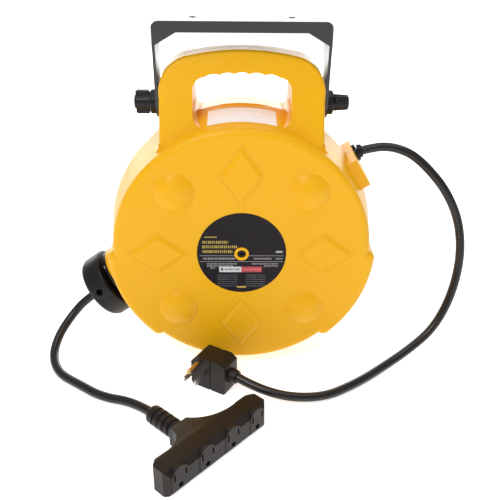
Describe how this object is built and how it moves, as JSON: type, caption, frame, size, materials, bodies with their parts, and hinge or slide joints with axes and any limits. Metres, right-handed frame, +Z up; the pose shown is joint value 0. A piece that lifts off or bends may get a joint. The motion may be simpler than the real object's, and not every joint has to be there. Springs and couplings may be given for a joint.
{
  "type": "extension cord reel",
  "caption": "Round moulded cord reel with a carry handle, swivelling mounting bracket, wing knobs, rubber cord stop, multi-outlet tap and a plug lead.",
  "frame": {"origin": "on the floor under the spool axis, on the plane where the two shells part", "axes": "+X to the right of the label face, +Y away from the label face, +Z up through the handle"},
  "size_m": [0.4376, 0.3029, 0.346],
  "materials": {
    "housing_yellow": "fine satin, moulded",
    "cord_black": "glossy jacket",
    "moulded_black": "satin, moulded",
    "bumper_black": "satin",
    "bracket_paint": "semi-gloss paint",
    "knob_black": "satin",
    "steel": "plain",
    "black_steel": "black oxide",
    "spring_steel": "blued",
    "brass": "plain",
    "nylon": "natural",
    "spool_grey": "plain",
    "label_black": "printed foil",
    "sticker_white": "paper label"
  },
  "bodies": {
    "housing": {"front_shell": "housing_yellow", "rear_shell": "housing_yellow", "label_disc": "label_black", "top_sticker": "sticker_white", "axle": "steel", "axle_screws": "black_steel", "housing_screws": "steel", "guide_collar": "knob_black", "guide_pins": "steel", "guide_screws": "steel", "spring_arbor": "steel", "pawl_pin": "steel", "brush_holder": "nylon", "brushes": "brass", "pivot_bolts": "steel", "pivot_washers": "nylon", "lead_grommet": "bumper_black", "lead_cord": "cord_black", "lead_inner_run": "cord_black", "output_cord": "cord_black", "cord_inner_run": "cord_black", "cord_stop_front": "bumper_black", "cord_stop_rear": "bumper_black", "cord_stop_screws": "steel", "tap_body": "moulded_black", "tap_contacts": "brass", "plug_body": "moulded_black", "plug_blades": "steel", "plug_ground_pin": "brass"},
    "spool": {"spool_hub": "spool_grey", "spool_flange_front": "spool_grey", "spool_flange_rear": "spool_grey", "spool_bushes": "nylon", "cord_winding": "cord_black", "slip_ring_disc": "nylon", "slip_rings": "brass", "spring_barrel": "spool_grey", "spring_cover": "spool_grey", "power_spring": "spring_steel", "ratchet_ring": "steel"},
    "pawl": {"pawl": "steel"},
    "bracket": {"bracket": "bracket_paint"},
    "knob_left": {"knob_left": "knob_black", "insert_left": "brass"},
    "knob_right": {"knob_right": "knob_black", "insert_right": "brass"},
    "roller_upper": {"roller_upper": "nylon"},
    "roller_lower": {"roller_lower": "nylon"},
    "roller_front": {"roller_front": "nylon"},
    "roller_rear": {"roller_rear": "nylon"}
  },
  "joints": [
    {"name": "spool_spin", "type": "hinge", "parent": "housing", "child": "spool", "pos_m": [0, 0, 0.1335], "axis": [0, 1, 0], "continuous": true},
    {"name": "pawl_swing", "type": "hinge", "parent": "housing", "child": "pawl", "pos_m": [-0.04557, 0.023, 0.20643], "axis": [0, 1, 0], "range_deg": [-9, 6]},
    {"name": "bracket_swing", "type": "hinge", "parent": "housing", "child": "bracket", "pos_m": [0, 0, 0.268], "axis": [1, 0, 0], "range_deg": [-90, 90]},
    {"name": "knob_left_turn", "type": "hinge", "parent": "housing", "child": "knob_left", "pos_m": [-0.0895, 0, 0.268], "axis": [-1, 0, 0], "continuous": true},
    {"name": "knob_right_turn", "type": "hinge", "parent": "housing", "child": "knob_right", "pos_m": [0.0895, 0, 0.268], "axis": [1, 0, 0], "continuous": true},
    {"name": "roller_upper_spin", "type": "hinge", "parent": "housing", "child": "roller_upper", "pos_m": [-0.1269, 0, 0.0921], "axis": [0, 1, 0], "continuous": true},
    {"name": "roller_lower_spin", "type": "hinge", "parent": "housing", "child": "roller_lower", "pos_m": [-0.11385, 0, 0.07414], "axis": [0, 1, 0], "continuous": true},
    {"name": "roller_front_spin", "type": "hinge", "parent": "housing", "child": "roller_front", "pos_m": [-0.10946, -0.0111, 0.09106], "axis": [0.5878, 0, -0.809], "continuous": true},
    {"name": "roller_rear_spin", "type": "hinge", "parent": "housing", "child": "roller_rear", "pos_m": [-0.10946, 0.0111, 0.09106], "axis": [0.5878, 0, -0.809], "continuous": true}
  ]
}
